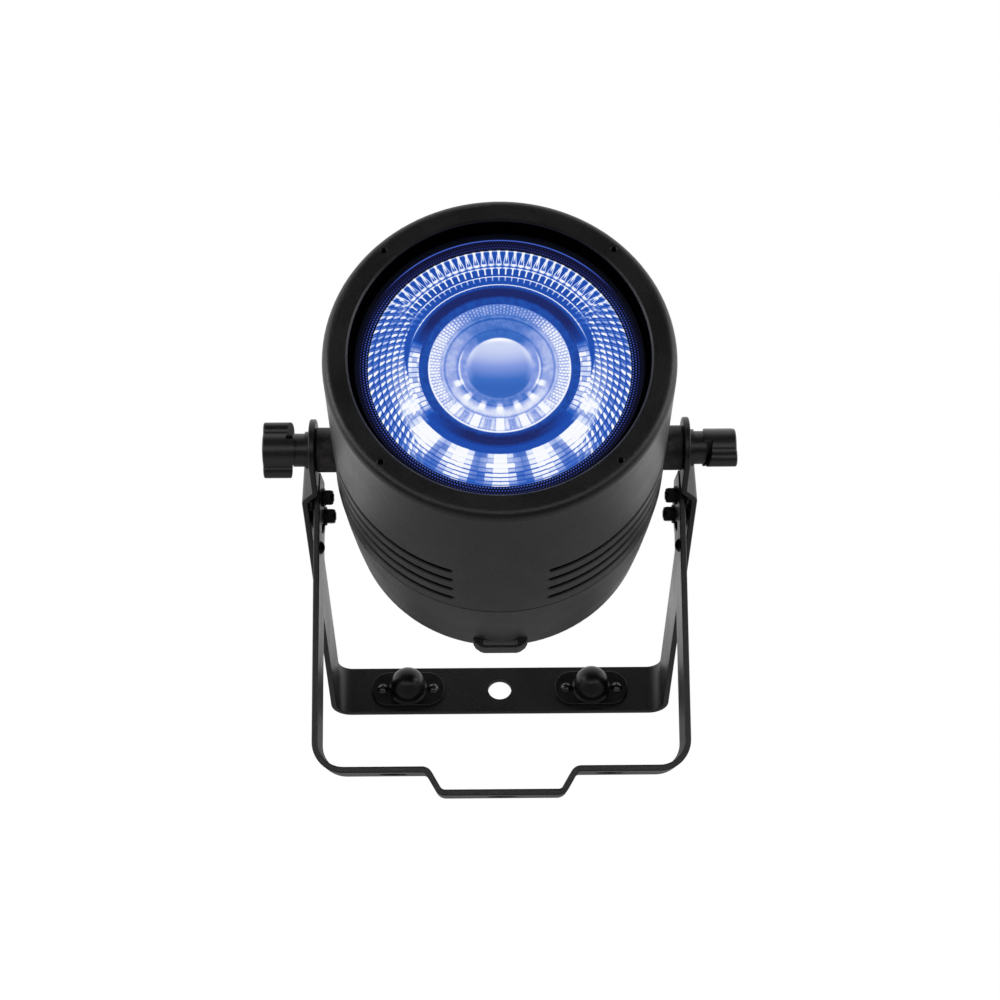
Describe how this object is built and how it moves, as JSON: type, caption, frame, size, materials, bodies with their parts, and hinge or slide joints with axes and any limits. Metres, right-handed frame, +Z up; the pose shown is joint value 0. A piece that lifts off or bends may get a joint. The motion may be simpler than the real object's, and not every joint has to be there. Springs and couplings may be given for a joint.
{
  "type": "par light",
  "caption": "Black stage par light: a drum-shaped LED head with a faceted blue optic tilts between the ears of a U bracket that stands on the floor with a folding front leg.",
  "frame": {"origin": "on the floor under the centre of the bounding box, in the standing pose with the head tilted up", "axes": "+Z up, -Y is the way the light faces, +X is the light's left and the viewer's right; the tilt axis runs along X"},
  "size_m": [0.229, 0.2946, 0.2917],
  "materials": {
    "bracket_coat": "fine-textured black powder coat on steel",
    "housing_coat": "fine-textured black powder coat on cast aluminium",
    "lock_cover": "glossy black cover",
    "black_fastener": "black oxide steel",
    "zinc_fastener": "zinc-plated steel",
    "front_pane": "clear pane with a dotted black border",
    "seal_rubber": "matt black seal",
    "optic_plastic": "clear moulded optic, lit blue",
    "reflector_metal": "metallised bowl",
    "sink_metal": "bare extruded aluminium",
    "board": "green circuit board",
    "led_yellow": "phosphor dome over the LED chips",
    "inner_plastic": "black moulded plastic",
    "boss_metal": "mottled dark grey casting",
    "knob_plastic": "fine-textured black plastic",
    "panel_coat": "black anodised sheet",
    "socket_plastic": "black connector body",
    "power_blue": "blue mains inlet body",
    "power_grey": "grey mains outlet body",
    "contact": "plated contact pins",
    "button_rubber": "dark grey rubber caps",
    "display_pane": "dark display window"
  },
  "bodies": {
    "stand": {"rear_bracket": "bracket_coat", "right_quick_lock": "lock_cover", "left_quick_lock": "lock_cover", "quick_lock_cams": "zinc_fastener", "quick_lock_rivets": "black_fastener", "leg_screws": "black_fastener", "leg_nuts": "black_fastener", "leg_tooth_washers": "black_fastener", "leg_spacers": "black_fastener"},
    "head": {"front_housing": "housing_coat", "rear_housing": "housing_coat", "safety_loop": "bracket_coat", "loop_screws": "black_fastener", "front_glass": "front_pane", "glass_gasket": "seal_rubber", "optic_holder": "inner_plastic", "facet_lens": "optic_plastic", "centre_lens": "optic_plastic", "reflector": "reflector_metal", "led_board": "board", "led_emitter": "led_yellow", "heat_sink": "sink_metal", "fan_frame": "inner_plastic", "fan_screws": "zinc_fastener", "driver_tray": "sink_metal", "standoffs": "zinc_fastener", "driver_board": "board", "control_board": "board", "display_module": "inner_plastic", "display_window": "display_pane", "rear_panel": "panel_coat", "panel_screws": "black_fastener", "dmx_in": "socket_plastic", "dmx_in_pins": "contact", "dmx_out": "socket_plastic", "connector_screws": "black_fastener", "power_in": "power_blue", "power_out": "power_grey", "right_boss": "boss_metal", "left_boss": "boss_metal", "boss_nuts": "zinc_fastener"},
    "front_leg": {"front_bracket": "bracket_coat", "leg_studs": "black_fastener"},
    "fan_rotor": {"fan_rotor": "inner_plastic"},
    "right_washer": {"right_clamp_washer": "knob_plastic"},
    "left_washer": {"left_clamp_washer": "knob_plastic"},
    "right_knob": {"right_knob": "knob_plastic", "right_knob_stud": "zinc_fastener"},
    "left_knob": {"left_knob": "knob_plastic", "left_knob_stud": "zinc_fastener"},
    "menu_button": {"menu_button": "button_rubber"},
    "up_button": {"up_button": "button_rubber"},
    "down_button": {"down_button": "button_rubber"},
    "enter_button": {"enter_button": "button_rubber"},
    "socket_latch": {"dmx_out_latch": "zinc_fastener"}
  },
  "joints": [
    {"name": "leg_fold", "type": "hinge", "parent": "stand", "child": "front_leg", "pos_m": [0, 0.00616, 0.14548], "axis": [1, 0, 0], "range_deg": [-6, 64.5]},
    {"name": "head_tilt", "type": "hinge", "parent": "stand", "child": "head", "pos_m": [0, -0.02044, 0.17303], "axis": [1, 0, 0], "continuous": true},
    {"name": "right_washer_slide", "type": "slide", "parent": "head", "child": "right_washer", "axis": [1, 0, 0], "range_m": [0, 0.0025]},
    {"name": "right_knob_turn", "type": "hinge", "parent": "right_washer", "child": "right_knob", "pos_m": [0.1, -0.02044, 0.17303], "axis": [1, 0, 0], "range_deg": [0, 721]},
    {"name": "left_washer_slide", "type": "slide", "parent": "head", "child": "left_washer", "axis": [-1, 0, 0], "range_m": [0, 0.0025]},
    {"name": "left_knob_turn", "type": "hinge", "parent": "left_washer", "child": "left_knob", "pos_m": [-0.1, -0.02044, 0.17303], "axis": [-1, 0, 0], "range_deg": [0, 721]},
    {"name": "fan_spin", "type": "hinge", "parent": "head", "child": "fan_rotor", "pos_m": [0, -0.01942, 0.17241], "axis": [0, -0.8536, 0.521], "continuous": true},
    {"name": "menu_press", "type": "slide", "parent": "head", "child": "menu_button", "axis": [0, -0.8536, 0.521], "range_m": [0, 0.0012], "stiffness_N_per_m": 800},
    {"name": "up_press", "type": "slide", "parent": "head", "child": "up_button", "axis": [0, -0.8536, 0.521], "range_m": [0, 0.0012], "stiffness_N_per_m": 800},
    {"name": "down_press", "type": "slide", "parent": "head", "child": "down_button", "axis": [0, -0.8536, 0.521], "range_m": [0, 0.0012], "stiffness_N_per_m": 800},
    {"name": "enter_press", "type": "slide", "parent": "head", "child": "enter_button", "axis": [0, -0.8536, 0.521], "range_m": [0, 0.0012], "stiffness_N_per_m": 800},
    {"name": "latch_press", "type": "slide", "parent": "head", "child": "socket_latch", "axis": [0, -0.8536, 0.521], "range_m": [0, 0.0015], "stiffness_N_per_m": 800}
  ],
  "couplings": [
    {"joint": "right_knob_turn", "follows": "right_washer_slide", "rad_per_m": 5026.5},
    {"joint": "left_knob_turn", "follows": "left_washer_slide", "rad_per_m": 5026.5}
  ]
}
